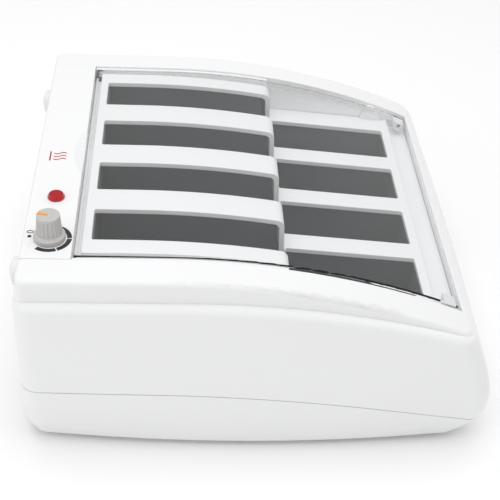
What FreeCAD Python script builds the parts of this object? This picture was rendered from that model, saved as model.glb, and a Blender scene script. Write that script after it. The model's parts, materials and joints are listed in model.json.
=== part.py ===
import FreeCAD, Part
import math
import os

import Sketcher
from FreeCAD import Placement, Rotation, Vector

# Countertop warmer with a clear arched lid over a deck with four long slots.
# Frame: origin under the middle of the body, on the surface it stands on. +Z is up,
# the control strip faces -Y, the lid is hinged at +Y. Millimetres.

os.makedirs("parts", exist_ok=True)
doc = FreeCAD.newDocument("slot_warmer")

# ---------------------------------------------------------------- driving dimensions

SIZES = {
    # body, seen from the side
    "feet_height": 5.0,
    "wall": 3.3,
    "front_wall": 157.5,
    "seam_height": 53.4,
    "seam_start": 71.0,
    "seam_radius": 825.0,
    "seam_gap": 0.5,
    "shoulder_height": 128.8,
    "shoulder_start": 43.7,
    "shoulder_radius": 605.0,
    "shoulder_round": 6.0,
    "rail_top": 145.0,
    "arch_start": 63.0,
    "arch_radius": 498.0,
    # rim, seen from above
    "rim_half": 143.0,
    "rim_front": 153.2,
    "rim_back": 135.2,
    "rim_corner": 5.5,
    "rim_back_corner": 8.0,
    "rim_round": 3.4,
    "mouth_half": 121.1,
    "mouth_front": 120.8,
    "mouth_back": 130.3,
    "skirt": 2.8,
    "skirt_foot": 92.0,
    "body_corner": 13.0,
    # deck
    "deck_top": 142.3,
    "deck_raised": 112.3,
    "deck_start": 82.2,
    "deck_radius": 602.3,
    "deck_thick": 3.3,
    "slot_pitch": 55.0,
    "slot_front": 109.7,
    "slot_back": 108.3,
    "slot_upper": 32.3,
    "slot_lower": 38.8,
    "slot_corner": 1.6,
    "step_back": 15.7,
    "step_round": 6.0,
    "lower_front": 109.9,
    "lower_back": 101.2,
    "lower_radius": 1950.0,
    "lower_end": 115.4,
    "gutter_drop": 5.5,
    "channel": 5.6,
    "channel_depth": 9.0,
    "rest_gap": 0.7,
    "rest_sink": 0.7,
    "rest_start": 97.0,
    "rest_end": 104.0,
    # lid
    "lid_thick": 2.0,
    "lid_sink": 0.4,
    "lid_half": 117.4,
    "lid_front": 119.6,
    "lid_back": 128.6,
    "lid_flange": 7.0,
    "hinge_back": 123.0,
    "hinge_sink": 4.2,
    "pin_diameter": 3.0,
    "pin_length": 17.0,
    "pin_play": 0.15,
    # controls
    "control_across": 100.6,
    "control_front": 135.4,
    "panel_top": 145.3,
    "knob_skirt": 20.0,
    "knob_waist": 16.4,
    "knob_head": 14.6,
    "knob_height": 17.4,
    "knob_gap": 0.7,
    "pointer_depth": 1.0,
    "off_angle": 195.0,
    "shaft_diameter": 6.0,
    "shaft_play": 0.1,
    "lens_diameter": 11.2,
    "lens_height": 2.9,
    "lamp_across": 56.6,
    # heated well
    "well_half": 107.0,
    "well_front": 111.0,
    "well_back": 112.0,
    "well_floor": 50.0,
    "sheet": 2.0,
    "divider": 3.0,
    "mat_thick": 1.6,
    "blanket": 12.0,
    # electrics
    "board_width": 84.0,
    "board_height": 46.0,
    "board_thick": 1.6,
    "inlet_across": 95.0,
    "inlet_height": 50.0,
    "foot_diameter": 17.0,
    "bumper_diameter": 18.5,
    "bumper_height": 4.4,
}

dims = doc.addObject("Spreadsheet::Sheet", "dims")
for row, (alias, value) in enumerate(SIZES.items(), start=1):
    dims.set(f"A{row}", f"'{alias}")
    dims.set(f"B{row}", str(value))
    dims.setAlias(f"B{row}", alias)
doc.recompute()


def size(alias):
    return float(dims.get(alias))


wall = size("wall")
rail_top = size("rail_top")
feet_height = size("feet_height")
mouth_half = size("mouth_half")
slot_pitch = size("slot_pitch")
deck_thick = size("deck_thick")
panel_top = size("panel_top")
panel_under = rail_top - wall
control_y = -size("control_front")
front_face = -size("front_wall")
FAR = 400.0

# ---------------------------------------------------------------- shared geometry


def rounded_wire(corners, place):
    """Closed wire through corners (u, v, radius), each corner rounded to its radius."""
    starts = []
    middles = []
    ends = []
    for i, (u, v, radius) in enumerate(corners):
        here = Vector(u, v, 0)
        before = Vector(corners[i - 1][0], corners[i - 1][1], 0) - here
        following = corners[(i + 1) % len(corners)]
        after = Vector(following[0], following[1], 0) - here
        if radius == 0:
            starts.append(here)
            middles.append(None)
            ends.append(here)
            continue
        before.normalize()
        after.normalize()
        half = before.getAngle(after) / 2
        reach = radius / math.tan(half)
        inward = before + after
        inward.normalize()
        starts.append(here + before * reach)
        middles.append(here + inward * (radius / math.sin(half) - radius))
        ends.append(here + after * reach)
    edges = []
    for i in range(len(corners)):
        if middles[i] is not None:
            arc = Part.Arc(place(starts[i]), place(middles[i]), place(ends[i]))
            edges.append(arc.toShape())
        onward = starts[(i + 1) % len(corners)]
        if ends[i].distanceToPoint(onward) > 1e-5:
            edges.append(Part.makeLine(place(ends[i]), place(onward)))
    return Part.Wire(edges)


def side_prism(corners, left, right):
    """Solid with a side-view outline of (y, z, radius) corners, from x = left to x = right."""
    wire = rounded_wire(corners, lambda p: Vector(left, p.x, p.y))
    return Part.Face(wire).extrude(Vector(right - left, 0, 0))


def plan_prism(corners, low, high):
    """Solid with a top-view outline of (x, y, radius) corners, from z = low to z = high."""
    wire = rounded_wire(corners, lambda p: Vector(p.x, p.y, low))
    return Part.Face(wire).extrude(Vector(0, 0, high - low))


def rectangle(left, right, front, back, radius=0):
    return [
        (left, front, radius),
        (right, front, radius),
        (right, back, radius),
        (left, back, radius),
    ]


def block(left, right, front, back, low, high):
    return Part.makeBox(right - left, back - front, high - low, Vector(left, front, low))


def rod(radius, start, end):
    """Cylinder of that radius between two points."""
    along = end - start
    return Part.makeCylinder(radius, along.Length, start, along)


def arched(front, back, top, start, radius):
    """Side-view line: level from the front, then an arc that falls towards the back."""
    turn = math.asin((back - start) / radius)
    corner = start + radius * math.tan(turn / 2)
    end = top - radius * (1 - math.cos(turn))
    return [(front, top, 0), (corner, top, radius), (back, end, 0)]


def rail_line(depth, front, back):
    """The rails' arch, moved inward by depth."""
    radius = size("arch_radius") - depth
    return arched(front, back, rail_top - depth, -size("arch_start"), radius)


def rail_height(y, depth=0):
    radius = size("arch_radius") - depth
    over = max(0.0, y + size("arch_start"))
    return rail_top - depth - radius + math.sqrt(radius ** 2 - over ** 2)


def deck_line(depth, front, back):
    """The upper deck's arch, moved down by depth."""
    radius = size("deck_radius") - depth
    return arched(front, back, size("deck_top") - depth, -size("deck_start"), radius)


def deck_height(y, depth=0):
    radius = size("deck_radius") - depth
    over = max(0.0, y + size("deck_start"))
    return size("deck_top") - depth - radius + math.sqrt(radius ** 2 - over ** 2)


def lower_line(depth, front, back):
    """The lower deck's long shallow arch, moved down by depth, as two points and a corner."""
    radius = size("lower_radius")
    fall = (size("lower_front") - size("lower_back")) / (size("lower_end") - size("step_back"))
    middle = (front + back) / 2
    half_turn = (back - front) / 2 / radius
    height = size("lower_front") - depth
    first = height - fall * (front - size("step_back"))
    last = height - fall * (back - size("step_back"))
    lift = (back - front) / 2 * half_turn / 2
    return [(front, first, 0), (middle, (first + last) / 2 + lift, radius), (back, last, 0)]


def lower_height(y, depth=0):
    fall = (size("lower_front") - size("lower_back")) / (size("lower_end") - size("step_back"))
    return size("lower_front") - depth - fall * (y - size("step_back"))


def seam_region(lift):
    """Everything below the seam that parts the two shells, raised by lift."""
    radius = size("seam_radius")
    line = arched(-FAR, FAR, size("seam_height") + lift, -size("seam_start"), radius)
    return side_prism(line + [(FAR, -FAR, 0), (-FAR, -FAR, 0)], -FAR, FAR)


def shoulder_region(depth):
    """Everything below the body's shoulder line, lowered by depth."""
    start = -size("shoulder_start")
    radius = size("shoulder_radius") - depth
    line = arched(-FAR, FAR, size("shoulder_height") - depth, start, radius)
    return side_prism(line + [(FAR, -FAR, 0), (-FAR, -FAR, 0)], -FAR, FAR)


def deck_region(depth):
    """Everything below the upper deck's arch, lowered by depth."""
    return side_prism(
        deck_line(depth, -FAR, FAR) + [(FAR, -FAR, 0), (-FAR, -FAR, 0)], -FAR, FAR
    )


def rail_region(depth):
    """Everything below the rails' arch, lowered by depth."""
    return side_prism(
        rail_line(depth, -FAR, FAR) + [(FAR, -FAR, 0), (-FAR, -FAR, 0)], -FAR, FAR
    )


# Height, half width at the middle and at the corners, front face, back face at the
# middle and at the corners. The body is a soft barrel that leans out to the back.
BODY_LEVELS = [
    (0.0, 143.0, 134.0, 154.0, 149.0, 142.0),
    (12.0, 144.8, 138.0, 156.6, 158.2, 152.5),
    (24.0, 146.2, 141.5, 157.3, 161.2, 157.0),
    (48.0, 148.0, 145.2, 157.5, 158.8, 155.6),
    (72.0, 148.6, 146.8, 157.5, 150.0, 147.6),
    (100.0, 148.7, 147.8, 157.4, 137.0, 136.2),
    (128.0, 148.6, 148.2, 157.0, 127.4, 126.8),
]
BOW_SHARE = 0.6
BOW_REACH = 0.8


def bowed_side(start, end, bow):
    """Middle corner of a side that bows outward by bow once its corner is rounded."""
    length = math.hypot(end[0] - start[0], end[1] - start[1]) / 2
    peak = bow / BOW_SHARE
    outward = ((end[1] - start[1]) / (2 * length), (start[0] - end[0]) / (2 * length))
    x = (start[0] + end[0]) / 2 + outward[0] * peak
    y = (start[1] + end[1]) / 2 + outward[1] * peak
    return (x, y, BOW_REACH * length * length / peak)


def body_section(level, inset):
    height, half, half_corner, front, back, back_corner = level
    side = half_corner - inset
    front_corner = -(front - 1.0 - inset)
    rear = back_corner - inset
    corner = size("body_corner") - inset
    points = [(-side, front_corner), (side, front_corner), (side, rear), (-side, rear)]
    bows = [1.0, half - half_corner, back - back_corner, half - half_corner]
    outline = []
    for i, point in enumerate(points):
        outline.append((point[0], point[1], corner))
        outline.append(bowed_side(point, points[(i + 1) % 4], bows[i]))
    lift = feet_height + height
    return rounded_wire(outline, lambda p: Vector(p.x, p.y, lift))


def body_form(inset):
    """The barrel of the body, with every side moved in by inset."""
    return Part.makeLoft([body_section(level, inset) for level in BODY_LEVELS], True, False)


# ---------------------------------------------------------------- document helpers


def add_shape(label, shape, place=Placement()):
    feature = doc.addObject("Part::Feature", label)
    feature.Label = label
    feature.Shape = shape.removeSplitter()
    feature.Placement = place
    return feature


def add_group(label, shapes):
    """Several identical pieces that share one node."""
    feature = doc.addObject("Part::Feature", label)
    feature.Label = label
    feature.Shape = Part.makeCompound(shapes)
    return feature


def origin_plane(body, role):
    return next(item for item in body.Origin.OriginFeatures if item.Role == role)


def sheet_sketch(body, name, role, corners):
    """Closed sketch whose corners are pairs of sheet expressions."""
    sketch = body.newObject("Sketcher::SketchObject", name)
    sketch.AttachmentSupport = [(origin_plane(body, role), "")]
    sketch.MapMode = "FlatFace"
    points = []
    for across, up in corners:
        points.append(Vector(dims.evalExpression(across), dims.evalExpression(up), 0))
    for i, point in enumerate(points):
        onward = points[(i + 1) % len(points)]
        sketch.addGeometry(Part.LineSegment(point, onward), False)
    for i in range(len(points)):
        sketch.addConstraint(Sketcher.Constraint("Coincident", i, 2, (i + 1) % len(points), 1))
    for i, (across, up) in enumerate(corners):
        for kind, text, value in (("DistanceX", across, points[i].x), ("DistanceY", up, points[i].y)):
            index = sketch.addConstraint(Sketcher.Constraint(kind, -1, 1, i, 1, value))
            sketch.setExpression(f"Constraints[{index}]", text)
    return sketch


def add_circle(sketch, across, up, radius):
    """Circle bound to the sheet, in a sketch that is already attached."""
    centre = Vector(dims.evalExpression(across), dims.evalExpression(up), 0)
    value = dims.evalExpression(radius)
    circle = sketch.addGeometry(Part.Circle(centre, Vector(0, 0, 1), value), False)
    for kind, text, number in (("DistanceX", across, centre.x), ("DistanceY", up, centre.y)):
        index = sketch.addConstraint(Sketcher.Constraint(kind, -1, 1, circle, 3, number))
        sketch.setExpression(f"Constraints[{index}]", text)
    index = sketch.addConstraint(Sketcher.Constraint("Radius", circle, value))
    sketch.setExpression(f"Constraints[{index}]", radius)


def turned_body(label, corners, place):
    """Piece turned about its own Z axis from (radius, height) expressions."""
    body = doc.addObject("PartDesign::Body", label)
    body.Label = label
    sketch = sheet_sketch(body, label + "_profile", "XZ_Plane", corners)
    turn = body.newObject("PartDesign::Revolution", label + "_turn")
    turn.Profile = sketch
    turn.ReferenceAxis = (sketch, ["V_Axis"])
    turn.Angle = 360
    body.Tip = turn
    body.Placement = place
    return body


def plate_body(label, role, corners, thick, place, holes=()):
    """Flat piece padded from a sketch of (across, up) expressions, with round holes."""
    body = doc.addObject("PartDesign::Body", label)
    body.Label = label
    sketch = sheet_sketch(body, label + "_outline", role, corners)
    for across, up, radius in holes:
        add_circle(sketch, across, up, radius)
    pad = body.newObject("PartDesign::Pad", label + "_pad")
    pad.Profile = sketch
    pad.setExpression("Length", thick)
    body.Tip = pad
    body.Placement = place
    return body


# ---------------------------------------------------------------- shells

body_outer = body_form(0)
body_inner = body_form(wall)
base_inner = body_form(wall + 0.4)
lip_outer = body_form(wall + 0.3)
lip_inner = body_form(wall + 2.1)

POST_X = 126.0
POSTS = [(-105.0, 45.0), (95.0, 30.0)]
POST_RADIUS = 5.0
POST_SEAT = 6.0
SCREW_HEAD = 4.0
SCREW_CLEAR = 2.2
FLOOR = feet_height + 3.0
STANDOFFS = [(x, y) for x in (-100.0, 100.0) for y in (-103.5, 104.5)]
FEET = [(x, y) for x in (-106.0, 106.0) for y in (-126.0, 120.0)]
STANDOFF_SEAT = 12.0
STANDOFF_PAD = 8.0


def base_pan():
    """Lower shell: floor, side walls up to the seam, a lip inside the seam, posts."""
    shell = body_outer.common(seam_region(0))
    hollow = base_inner.common(block(-FAR, FAR, -FAR, FAR, FLOOR, FAR))
    shell = shell.cut(hollow)
    lip = lip_outer.common(seam_region(4)).cut(seam_region(-5)).cut(lip_inner)
    shell = shell.fuse(lip)
    for side in (-1, 1):
        for y, top in POSTS:
            foot = Vector(side * POST_X, y, FLOOR - 1)
            shell = shell.fuse(rod(POST_RADIUS, foot, Vector(side * POST_X, y, top)))
    for x, y in STANDOFFS:
        foot = Vector(x, y, FLOOR - 1)
        shell = shell.fuse(rod(STANDOFF_PAD, foot, Vector(x, y, STANDOFF_SEAT)))
    for side in (-1, 1):
        for y, top in POSTS:
            under = Vector(side * POST_X, y, 0)
            seat = Vector(side * POST_X, y, top - POST_SEAT)
            shell = shell.cut(rod(SCREW_HEAD, under, seat))
            shell = shell.cut(rod(SCREW_CLEAR, under, Vector(side * POST_X, y, top + 1)))
    for x, y in STANDOFFS:
        shell = shell.cut(rod(SCREW_HEAD, Vector(x, y, 0), Vector(x, y, FLOOR)))
        shell = shell.cut(rod(SCREW_CLEAR, Vector(x, y, 0), Vector(x, y, STANDOFF_SEAT + 1)))
    return shell


def shoulder_edges(shape):
    """Edges where the body's walls meet its shoulder."""
    found = []
    for edge in shape.Edges:
        middle = edge.valueAt((edge.FirstParameter + edge.LastParameter) / 2)
        over = max(0.0, middle.y + size("shoulder_start"))
        radius = size("shoulder_radius")
        height = size("shoulder_height") - radius + math.sqrt(radius ** 2 - over ** 2)
        if abs(middle.z - height) < 0.05:
            found.append(edge)
    return found


def rim_form(inset, depth):
    """Raised rim of the upper shell, filled in, with every side moved in by inset."""
    half = size("rim_half") - inset
    front = -size("rim_front") + inset
    back = size("rim_back") - inset
    corner = size("rim_corner") - inset
    back_corner = size("rim_back_corner") - inset
    outline = [
        (-half, front, corner),
        (half, front, corner),
        (half, back, back_corner),
        (-half, back, back_corner),
    ]
    return plan_prism(outline, size("skirt_foot"), rail_top + 5).common(rail_region(depth))


def rim_edges(shape):
    """The rim's outer top edges."""
    found = []
    for edge in shape.Edges:
        middle = edge.valueAt((edge.FirstParameter + edge.LastParameter) / 2)
        if abs(middle.z - rail_height(middle.y)) < 0.05:
            found.append(edge)
    return found


BUMPER_X = 104.5
BUMPER_Z = 121.6
BUMPER_SEAT = front_face + 2.0
INLET_X = -size("inlet_across")
INLET_Z = size("inlet_height")
INLET_SEAT = 150.0
BOARD_LEFT = -62.0
BOARD_LOW = 68.0
BOARD_BACK = front_face + wall + 5.0
BOARD_POSTS = [
    (BOARD_LEFT + dx, BOARD_LOW + dz)
    for dx in (4.0, size("board_width") - 4.0)
    for dz in (4.0, size("board_height") - 4.0)
]
LUGS = [-70.0, 70.0]
LUG_X = 115.0
HINGE_Y = size("hinge_back")
HINGE_Z = rail_height(HINGE_Y, size("lid_sink") + size("hinge_sink"))
PIN_SEAT = 6.0
SCOOP_RADIUS = 160.0
SCOOP_DISH = 63.0
SCOOP_DEPTH_IN = 7.0


def deck_under(y):
    """Underside of the deck's border beside the skirt."""
    if y < size("step_back"):
        return deck_height(y, size("channel_depth"))
    return lower_height(y, deck_thick)


def upper_housing():
    """Upper shell: walls, shoulder, raised rim, control strip, scoop and inner skirt."""
    shell = body_outer.common(shoulder_region(0)).cut(seam_region(size("seam_gap")))
    shell = shell.makeFillet(size("shoulder_round"), shoulder_edges(shell))
    rim = rim_form(0, 0)
    rim = rim.makeFillet(size("rim_round"), rim_edges(rim))
    shell = shell.fuse(rim)
    shell = shell.cut(body_inner.common(shoulder_region(wall)))
    shell = shell.cut(rim_form(wall, wall))
    strip = block(-mouth_half, mouth_half, -size("rim_front") + 1.2, -size("mouth_front"),
                  panel_under, panel_top)
    shell = shell.fuse(strip)
    skirt = size("skirt")
    front = -size("mouth_front")
    back = size("mouth_back")
    outer = block(-mouth_half - skirt, mouth_half + skirt, front - skirt, back + skirt,
                  size("skirt_foot"), FAR)
    shell = shell.fuse(outer.common(rail_region(1)))
    shell = shell.cut(block(-mouth_half, mouth_half, front, back, 0, FAR))
    below_front = block(-mouth_half - skirt - 1, mouth_half + skirt + 1, front - skirt - 1,
                        front + 1, 0, size("shoulder_height") - 3)
    shell = shell.cut(below_front.common(rim_form(wall, wall).fuse(body_inner)))
    for side in (-1, 1):
        for y, top in POSTS:
            foot = Vector(side * POST_X, y, top + 0.4)
            head = Vector(side * POST_X, y, rail_height(y) - 2)
            shell = shell.fuse(rod(4, foot, head))
            shell = shell.cut(rod(1.7, foot, foot + Vector(0, 0, 14)))
        for y in LUGS:
            top = deck_under(y) - 6.0
            inner = side * (mouth_half - 8)
            outer_x = side * (mouth_half + 1)
            lug = block(min(inner, outer_x), max(inner, outer_x), y - 5, y + 5, top - 3, top)
            shell = shell.fuse(lug)
            hole = Vector(side * LUG_X, y, top - 4)
            shell = shell.cut(rod(1.8, hole, hole + Vector(0, 0, 5)))
        hinge = Vector(side * mouth_half, HINGE_Y, HINGE_Z)
        outward = Vector(side, 0, 0)
        shell = shell.fuse(rod(4.5, hinge + outward, hinge + outward * 8))
        shell = shell.cut(rod(size("pin_diameter") / 2, hinge - outward, hinge + outward * PIN_SEAT))
    for x, z in BOARD_POSTS:
        shell = shell.fuse(rod(3.5, Vector(x, front_face + 1, z), Vector(x, BOARD_BACK, z)))
        shell = shell.cut(rod(1.3, Vector(x, front_face + 3, z), Vector(x, BOARD_BACK + 1, z)))
    seat = block(INLET_X - 30, INLET_X + 30, INLET_SEAT - 3, 158, INLET_Z - 17, INLET_Z + 17)
    shell = shell.fuse(seat.common(body_outer))
    shell = shell.cut(block(INLET_X - 27, INLET_X + 27, INLET_SEAT, FAR, INLET_Z - 14, INLET_Z + 14))
    shell = shell.cut(block(INLET_X - 14, INLET_X + 14, 0, FAR, INLET_Z - 10.2, INLET_Z + 10.2))
    for side in (-1, 1):
        start = Vector(INLET_X + side * 20, INLET_SEAT - 4, INLET_Z)
        shell = shell.cut(rod(1.5, start, start + Vector(0, 10, 0)))
    for side in (-1, 1):
        seat = Vector(side * BUMPER_X, BUMPER_SEAT, BUMPER_Z)
        shell = shell.cut(rod(size("bumper_diameter") / 2 + 0.1, seat, seat - Vector(0, 20, 0)))
    control = Vector(size("control_across"), control_y, panel_under - 5)
    lamp = Vector(size("lamp_across"), control_y, panel_under - 5)
    shell = shell.cut(rod(3.6, control, control + Vector(0, 0, 12)))
    shell = shell.cut(rod(4.6, lamp, lamp + Vector(0, 0, 12)))
    scoop_y = front - SCOOP_DEPTH_IN + SCOOP_DISH
    rise = math.sqrt(SCOOP_RADIUS ** 2 - SCOOP_DISH ** 2)
    shell = shell.cut(Part.makeSphere(SCOOP_RADIUS, Vector(0, scoop_y, panel_top + rise)))
    return shell


CHANNEL_FLOOR = 2.6
DECK_EDGE = size("mouth_half") - 0.3
DECK_RAISED = size("deck_raised")


def deck_profile(depth, front):
    """Side view of the deck's top surface moved in by depth, from front to the gutter."""
    step = size("step_back") - depth
    upper_end = deck_height(step, depth)
    upper = deck_line(depth, front, step - 12)
    lower = lower_line(depth, step + 4.0, size("lower_end") - depth)
    gutter = lower[-1][1] - size("gutter_drop")
    line = upper[:-1]
    line.append((step - 12, upper[-1][1], 0))
    line.append((step, upper_end, size("step_round") - depth / 2))
    line.append((step + 1.2, lower_height(step + 1.2, depth), 3.0 + depth / 2))
    line.append((lower[-1][0], lower[-1][1], 1.0))
    line.append((lower[-1][0], gutter, 1.0))
    line.append((size("mouth_back") - 0.4, gutter - 0.8, 0))
    return line


def lid_rests(side):
    """Low walls on the deck's edge beside the lid's flange, one at each end of the lid."""
    inner = side * (size("lid_half") + size("rest_gap"))
    outer = side * DECK_EDGE
    sink = size("lid_sink") + size("rest_sink")
    root = deck_thick / 2
    front = -size("mouth_front") + 0.3
    join = size("step_back") - 1
    floor = deck_line(size("channel_depth") - CHANNEL_FLOOR / 2, front, join)
    front_wall = rail_line(sink, front, join) + floor[::-1]
    start = size("rest_start")
    end = size("rest_end")
    foot = end + 8
    rear_wall = [
        (start - 5, lower_height(start - 5) - root, 0),
        (start, rail_height(start, sink), 4.0),
        (end, rail_height(end, sink), 7.0),
        (foot, lower_height(foot) - root, 0),
    ]
    left = min(inner, outer)
    right = max(inner, outer)
    return [side_prism(front_wall, left, right), side_prism(rear_wall, left, right)]


def slotted_deck():
    """Stepped deck with four slots, a channel for the lid's flange and a rear gutter."""
    front = -size("mouth_front") + 0.3
    raised_front = -size("mouth_front") + size("channel")
    top = deck_profile(0, raised_front)
    under = deck_profile(deck_thick, raised_front)
    plate = side_prism(top + under[::-1], -DECK_EDGE, DECK_EDGE)
    depth = size("channel_depth")
    for side in (-1, 1):
        edge = block(min(side * DECK_RAISED, side * FAR), max(side * DECK_RAISED, side * FAR),
                     -FAR, size("step_back") + 2, 0, FAR)
        plate = plate.cut(edge.cut(deck_region(depth - CHANNEL_FLOOR)))
    join = size("step_back") - 1
    ring_top = deck_line(depth - CHANNEL_FLOOR, front, join)
    ring_low = deck_line(depth, front, join)
    floor = side_prism(ring_top + ring_low[::-1], -DECK_EDGE, DECK_EDGE)
    inner = DECK_RAISED - 3
    floor = floor.cut(block(-inner, inner, raised_front + 3, FAR, 0, FAR))
    wall_top = deck_line(1, raised_front, join)
    wall_low = deck_line(depth, raised_front, join)
    collar = side_prism(wall_top + wall_low[::-1], -DECK_RAISED, DECK_RAISED)
    collar = collar.cut(block(-inner, inner, raised_front + 3, FAR, 0, FAR))
    collar = collar.cut(block(-FAR, FAR, size("step_back") - size("step_round"), FAR, 130, FAR))
    deck = plate.fuse([floor, collar] + lid_rests(-1) + lid_rests(1))
    for number in range(4):
        centre = (number - 1.5) * slot_pitch
        corner = size("slot_corner")
        upper = rectangle(centre - size("slot_upper") / 2, centre + size("slot_upper") / 2,
                          -size("slot_front"), size("step_back") + 5, corner)
        lower = rectangle(centre - size("slot_lower") / 2, centre + size("slot_lower") / 2,
                          size("step_back") + 2.6, size("slot_back"), corner)
        deck = deck.cut(plan_prism(upper, lower_height(0) - 12, FAR))
        deck = deck.cut(plan_prism(lower, 0, FAR))
    for side in (-1, 1):
        for y in LUGS:
            low = deck_under(y) - 5.7
            boss = rod(3, Vector(side * LUG_X, y, low), Vector(side * LUG_X, y, deck_under(y) + 0.8))
            deck = deck.fuse(boss)
            deck = deck.cut(rod(1.2, Vector(side * LUG_X, y, low), Vector(side * LUG_X, y, low + 6)))
    return deck


def lid_region(sink, front, back, half):
    """Space between the lid's arch, sunk below the rails by sink, and well below it."""
    line = rail_line(sink, front, back)
    return side_prism(line + [(back, 60, 0), (front, 60, 0)], -half, half)


def clear_lid():
    """Arched sheet with side flanges and a front flange, open at the back."""
    thick = size("lid_thick")
    sink = size("lid_sink")
    half = size("lid_half")
    front = -size("lid_front")
    lid = lid_region(sink, front, size("lid_back"), half)
    lid = lid.common(side_prism(
        rail_line(0, -FAR, FAR) + rail_line(sink + size("lid_flange"), -FAR, FAR)[::-1],
        -FAR, FAR))
    edges = []
    for edge in lid.Edges:
        middle = edge.valueAt((edge.FirstParameter + edge.LastParameter) / 2)
        if abs(middle.z - rail_height(middle.y, sink)) < 0.05 and middle.y < size("lid_back") - 1:
            edges.append(edge)
    lid = lid.makeFillet(1.4, edges)
    lid = lid.cut(lid_region(sink + thick, front + thick, FAR / 2, half - thick))
    for side in (-1, 1):
        start = Vector(side * (half - 3), HINGE_Y, HINGE_Z)
        lid = lid.cut(rod(size("pin_diameter") / 2 + 0.3, start, start + Vector(side * 6, 0, 0)))
    return lid


HINGE_BARREL = 4.2


def lid_hinge_block(side):
    """Block under a back corner of the lid, bored for the hinge pin."""
    thick = size("lid_thick")
    inner = side * (size("lid_half") - thick - 9)
    outer = side * (size("lid_half") - thick)
    shape = block(min(inner, outer), max(inner, outer), HINGE_Y - HINGE_BARREL,
                  HINGE_Y + HINGE_BARREL, HINGE_Z, FAR / 2)
    barrel = rod(HINGE_BARREL, Vector(inner, HINGE_Y, HINGE_Z), Vector(outer, HINGE_Y, HINGE_Z))
    shape = shape.fuse(barrel).common(rail_region(size("lid_sink") + thick))
    bore = size("pin_diameter") / 2 + size("pin_play") / 2
    start = Vector(inner - side, HINGE_Y, HINGE_Z)
    return shape.cut(rod(bore, start, Vector(outer + side, HINGE_Y, HINGE_Z)))


# ---------------------------------------------------------------- heated well


def well_outline(inset, gap):
    """Side view of the well, moved in by inset, its top kept gap under the deck."""
    front = -size("well_front") + inset
    back = size("well_back") - inset
    step = size("step_back") - deck_thick - 2
    upper = deck_line(deck_thick + gap, front, step)
    low = size("well_floor") + inset
    return upper + [
        (step, lower_height(step, deck_thick + gap) - 1.5, 0),
        (back, lower_height(back, deck_thick + gap), 0),
        (back, low, 0),
        (front, low, 0),
    ]


def heated_well():
    """Dark coated pan with a stepped brim, its floor on the standoffs."""
    half = size("well_half")
    sheet = size("sheet")
    pan = side_prism(well_outline(0, 1.0), -half, half)
    room = side_prism(well_outline(sheet, -60), -half + sheet, half - sheet)
    above = block(-half, half, -size("well_front") + sheet, size("well_back") - sheet,
                  size("well_floor") + sheet, FAR)
    return pan.cut(above.common(block(-half + sheet, half - sheet, -FAR, FAR, 0, FAR))).cut(room)


def well_divider(label, x):
    """Upright plate between two compartments, under a bar of the deck."""
    plate = side_prism(well_outline(size("sheet"), 0.5), -size("divider") / 2, size("divider") / 2)
    return add_shape(label, plate, Placement(Vector(x, 0, 0), Rotation()))


def with_post_holes(shape, radius):
    for x, y in STANDOFFS:
        shape = shape.cut(rod(radius, Vector(x, y, 0), Vector(x, y, FAR)))
    return shape


def insulation_blanket():
    top = size("well_floor") - size("mat_thick") - 0.2
    slab = plan_prism(rectangle(-104, 104, -108, 109, 6), top - size("blanket"), top)
    return with_post_holes(slab, 5.2)


SHIELD_LOW = size("well_floor") - size("mat_thick") - size("blanket") - 1.4


def heat_shield():
    """Shallow steel tray that holds the blanket against the well."""
    tray = plan_prism(rectangle(-106, 106, -110, 111, 7), SHIELD_LOW, SHIELD_LOW + 8)
    room = plan_prism(rectangle(-105, 105, -109, 110, 6), SHIELD_LOW + 1, SHIELD_LOW + 9)
    return with_post_holes(tray.cut(room), 4.1)


def standoff(x, y):
    """Shouldered spacer between the base and the well."""
    lower = rod(6, Vector(x, y, STANDOFF_SEAT), Vector(x, y, SHIELD_LOW))
    upper = rod(4, Vector(x, y, SHIELD_LOW - 1), Vector(x, y, size("well_floor")))
    thread = rod(2, Vector(x, y, 0), Vector(x, y, STANDOFF_SEAT + 12))
    return lower.fuse(upper).cut(thread)


def screw(head, tip, head_radius, head_height, shank_radius):
    """Pan-head screw; head is the point under its head, tip the end of its shank."""
    along = tip - head
    along.normalize()
    body = rod(shank_radius, head, tip)
    cap = rod(head_radius, head - along * head_height, head)
    slot_depth = head_height * 0.45
    slot = Part.makeBox(head_radius * 1.3, head_radius * 0.3, slot_depth)
    slot.translate(Vector(-head_radius * 0.65, -head_radius * 0.15, 0))
    cross = slot.copy()
    cross.rotate(Vector(0, 0, 0), Vector(0, 0, 1), 90)
    recess = slot.fuse(cross)
    recess.Placement = Placement(head - along * head_height, Rotation(Vector(0, 0, 1), along))
    return cap.fuse(body).cut(recess)


# ---------------------------------------------------------------- build the shells

add_shape("upper_housing", upper_housing())
add_shape("base_pan", base_pan())
add_shape("slotted_deck", slotted_deck())
add_shape("clear_lid", clear_lid())
for side, name in ((-1, "left"), (1, "right")):
    add_shape(f"lid_hinge_block_{name}", lid_hinge_block(side))
    pin = doc.addObject("Part::Cylinder", f"lid_hinge_pin_{name}")
    pin.Label = f"lid_hinge_pin_{name}"
    pin.setExpression("Radius", "dims.pin_diameter / 2")
    pin.setExpression("Height", "dims.pin_length")
    start = Vector(side * (mouth_half + PIN_SEAT), HINGE_Y, HINGE_Z)
    pin.Placement = Placement(start, Rotation(Vector(0, 0, 1), Vector(-side, 0, 0)))
buffer_top = rail_height(-FAR, size("lid_sink") + size("lid_flange")) - 0.3
buffer_low = deck_height(-FAR, size("channel_depth") - CHANNEL_FLOOR)
for side, name in ((-1, "left"), (1, "right")):
    pad = doc.addObject("Part::Box", f"lid_buffer_{name}")
    pad.Label = f"lid_buffer_{name}"
    pad.Length = 6.0
    pad.setExpression("Width", "dims.channel - 1")
    pad.Height = buffer_top - buffer_low
    across = side * (size("lid_half") - 3) - 3
    pad.Placement = Placement(Vector(across, -size("mouth_front") + 0.6, buffer_low), Rotation())

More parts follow.
